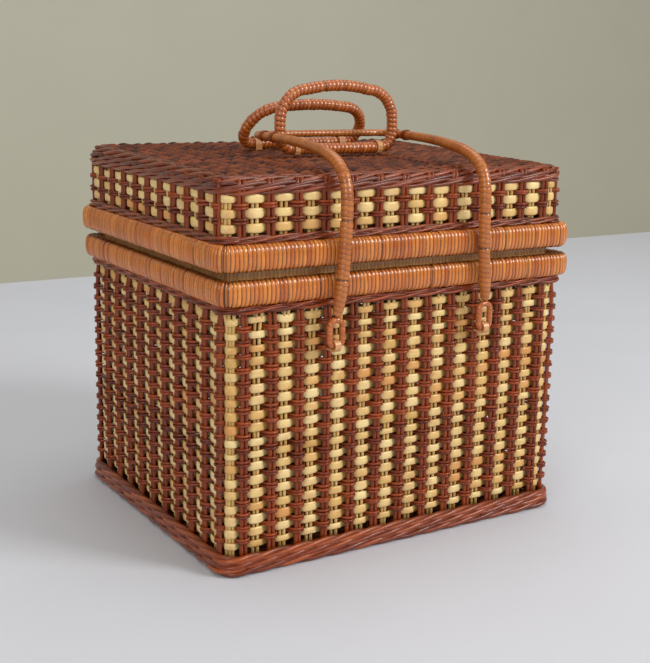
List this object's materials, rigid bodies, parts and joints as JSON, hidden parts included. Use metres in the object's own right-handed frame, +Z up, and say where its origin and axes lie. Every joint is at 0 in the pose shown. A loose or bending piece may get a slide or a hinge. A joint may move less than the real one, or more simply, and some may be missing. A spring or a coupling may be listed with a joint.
{
  "type": "wicker sewing basket",
  "caption": "Rectangular lidded wicker basket with striped woven walls, cane-wrapped rims, a back-hinged lid, a U-shaped swinging bail and closed grip rings that fold.",
  "frame": {"origin": "centre of the footprint, on the plane the foot braid rests on", "axes": "+Z up, front (the wall the bail is hooked to) is -Y, +X to the right seen from the front"},
  "size_m": [0.348, 0.3101, 0.3792],
  "materials": {
    "foot_braid": "gloss",
    "base_panel": "gloss",
    "wall_front": "satin",
    "wall_back": "satin",
    "wall_left": "satin",
    "wall_right": "satin",
    "corner_post_front_left": "satin",
    "corner_post_front_right": "satin",
    "corner_post_back_left": "satin",
    "corner_post_back_right": "satin",
    "body_waling": "gloss",
    "body_rim": "gloss",
    "inner_collar": "satin",
    "bail_staple_left": "satin",
    "bail_staple_right": "satin",
    "hinge_rod_left": "gloss",
    "hinge_rod_right": "gloss",
    "hinge_loop_lower_outer_left": "gloss",
    "hinge_loop_lower_inner_left": "gloss",
    "hinge_loop_lower_outer_right": "gloss",
    "hinge_loop_lower_inner_right": "gloss",
    "lid_rim": "gloss",
    "lid_waling": "gloss",
    "lid_wall_front": "satin",
    "lid_wall_back": "satin",
    "lid_wall_left": "satin",
    "lid_wall_right": "satin",
    "lid_corner_post_front_left": "satin",
    "lid_corner_post_front_right": "satin",
    "lid_corner_post_back_left": "satin",
    "lid_corner_post_back_right": "satin",
    "lid_top_border": "gloss",
    "lid_top_panel": "gloss",
    "rear_grip_clip_left": "satin",
    "rear_grip_clip_centre": "satin",
    "rear_grip_clip_right": "satin",
    "hinge_loop_upper_left": "gloss",
    "hinge_loop_upper_right": "gloss",
    "bail_frame": "gloss",
    "bail_eye_left": "gloss",
    "bail_eye_right": "gloss",
    "grip_lashing_left_front": "gloss",
    "grip_lashing_left_back": "gloss",
    "grip_lashing_right_front": "gloss",
    "grip_lashing_right_back": "gloss",
    "front_grip_ring": "gloss",
    "front_grip_binding_left": "satin",
    "front_grip_binding_right": "satin",
    "rear_grip_ring": "gloss"
  },
  "bodies": {
    "basket_body": {"foot_braid": "foot_braid", "base_panel": "base_panel", "wall_front": "wall_front", "wall_back": "wall_back", "wall_left": "wall_left", "wall_right": "wall_right", "corner_post_front_left": "corner_post_front_left", "corner_post_front_right": "corner_post_front_right", "corner_post_back_left": "corner_post_back_left", "corner_post_back_right": "corner_post_back_right", "body_waling": "body_waling", "body_rim": "body_rim", "inner_collar": "inner_collar", "bail_staple_left": "bail_staple_left", "bail_staple_right": "bail_staple_right", "hinge_rod_left": "hinge_rod_left", "hinge_rod_right": "hinge_rod_right", "hinge_loop_lower_outer_left": "hinge_loop_lower_outer_left", "hinge_loop_lower_inner_left": "hinge_loop_lower_inner_left", "hinge_loop_lower_outer_right": "hinge_loop_lower_outer_right", "hinge_loop_lower_inner_right": "hinge_loop_lower_inner_right"},
    "lid": {"lid_rim": "lid_rim", "lid_waling": "lid_waling", "lid_wall_front": "lid_wall_front", "lid_wall_back": "lid_wall_back", "lid_wall_left": "lid_wall_left", "lid_wall_right": "lid_wall_right", "lid_corner_post_front_left": "lid_corner_post_front_left", "lid_corner_post_front_right": "lid_corner_post_front_right", "lid_corner_post_back_left": "lid_corner_post_back_left", "lid_corner_post_back_right": "lid_corner_post_back_right", "lid_top_border": "lid_top_border", "lid_top_panel": "lid_top_panel", "rear_grip_clip_left": "rear_grip_clip_left", "rear_grip_clip_centre": "rear_grip_clip_centre", "rear_grip_clip_right": "rear_grip_clip_right", "hinge_loop_upper_left": "hinge_loop_upper_left", "hinge_loop_upper_right": "hinge_loop_upper_right"},
    "bail": {"bail_frame": "bail_frame", "bail_eye_left": "bail_eye_left", "bail_eye_right": "bail_eye_right", "grip_lashing_left_front": "grip_lashing_left_front", "grip_lashing_left_back": "grip_lashing_left_back", "grip_lashing_right_front": "grip_lashing_right_front", "grip_lashing_right_back": "grip_lashing_right_back"},
    "front_grip": {"front_grip_ring": "front_grip_ring", "front_grip_binding_left": "front_grip_binding_left", "front_grip_binding_right": "front_grip_binding_right"},
    "rear_grip": {"rear_grip_ring": "rear_grip_ring"}
  },
  "joints": [
    {"name": "lid_hinge", "type": "hinge", "parent": "basket_body", "child": "lid", "pos_m": [0, 0.1495, 0.23775], "axis": [-1, 0, 0], "range_deg": [0, 60]},
    {"name": "bail_swing", "type": "hinge", "parent": "basket_body", "child": "bail", "pos_m": [0, -0.148, 0.179], "axis": [1, 0, 0], "range_deg": [0, 168]},
    {"name": "front_grip_fold", "type": "hinge", "parent": "bail", "child": "front_grip", "pos_m": [0, -0.028, 0.3315], "axis": [1, 0, 0], "range_deg": [-25, 85]},
    {"name": "rear_grip_fold", "type": "hinge", "parent": "lid", "child": "rear_grip", "pos_m": [0, 0.038, 0.3216], "axis": [1, 0, 0], "range_deg": [-118, 20]}
  ],
  "couplings": [
    {"joint": "bail_swing", "follows": "lid_hinge", "ratio": 2.8}
  ]
}
